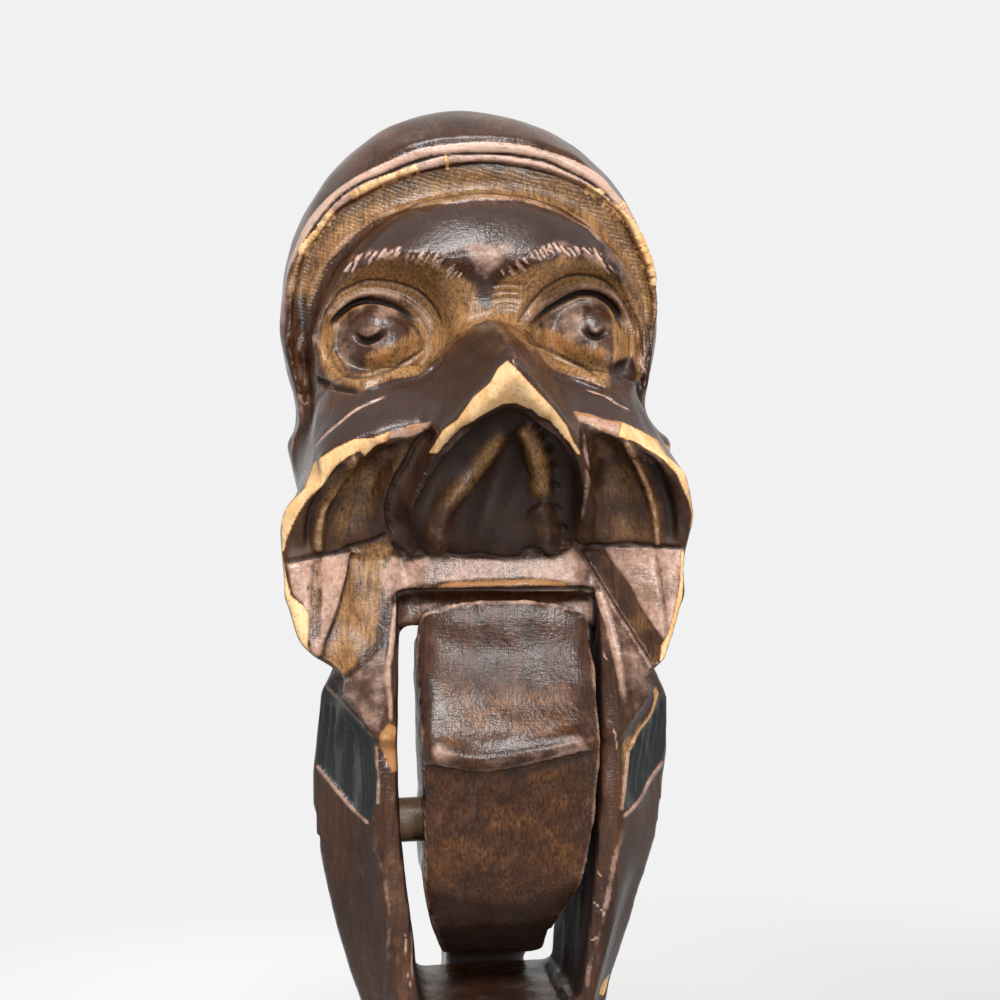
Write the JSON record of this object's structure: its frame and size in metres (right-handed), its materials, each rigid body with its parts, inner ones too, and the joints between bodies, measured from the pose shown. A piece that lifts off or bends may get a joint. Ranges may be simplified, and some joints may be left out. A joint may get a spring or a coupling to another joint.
{
  "type": "lever nutcracker",
  "caption": "Carved wooden lever nutcracker shaped as a head in a hooded cap; its chin is the front end of a lever that turns on a wooden pin and cracks nuts in the mouth.",
  "frame": {"origin": "middle of the flat end of the fixed handle", "axes": "+Z along the tool with the head up, the face looks along -Y, +X is the viewer's right when looking at the face"},
  "size_m": [0.0664, 0.08, 0.207],
  "materials": {
    "stained_wood": "dark walnut stain under old semi-gloss varnish, worn to tan on the edges",
    "jaw_wood": "reddish brown stain under old varnish, worn on the lip and chin",
    "dowel_wood": "bare turned dowel, slightly grimy"
  },
  "bodies": {
    "body": {"carved_body": "stained_wood", "pivot_dowel": "dowel_wood"},
    "lever": {"jaw_lever": "jaw_wood"}
  },
  "joints": [
    {"name": "jaw_hinge", "type": "hinge", "parent": "body", "child": "lever", "pos_m": [0, -0.003, 0.09], "axis": [1, 0, 0], "range_deg": [0, 45]}
  ]
}
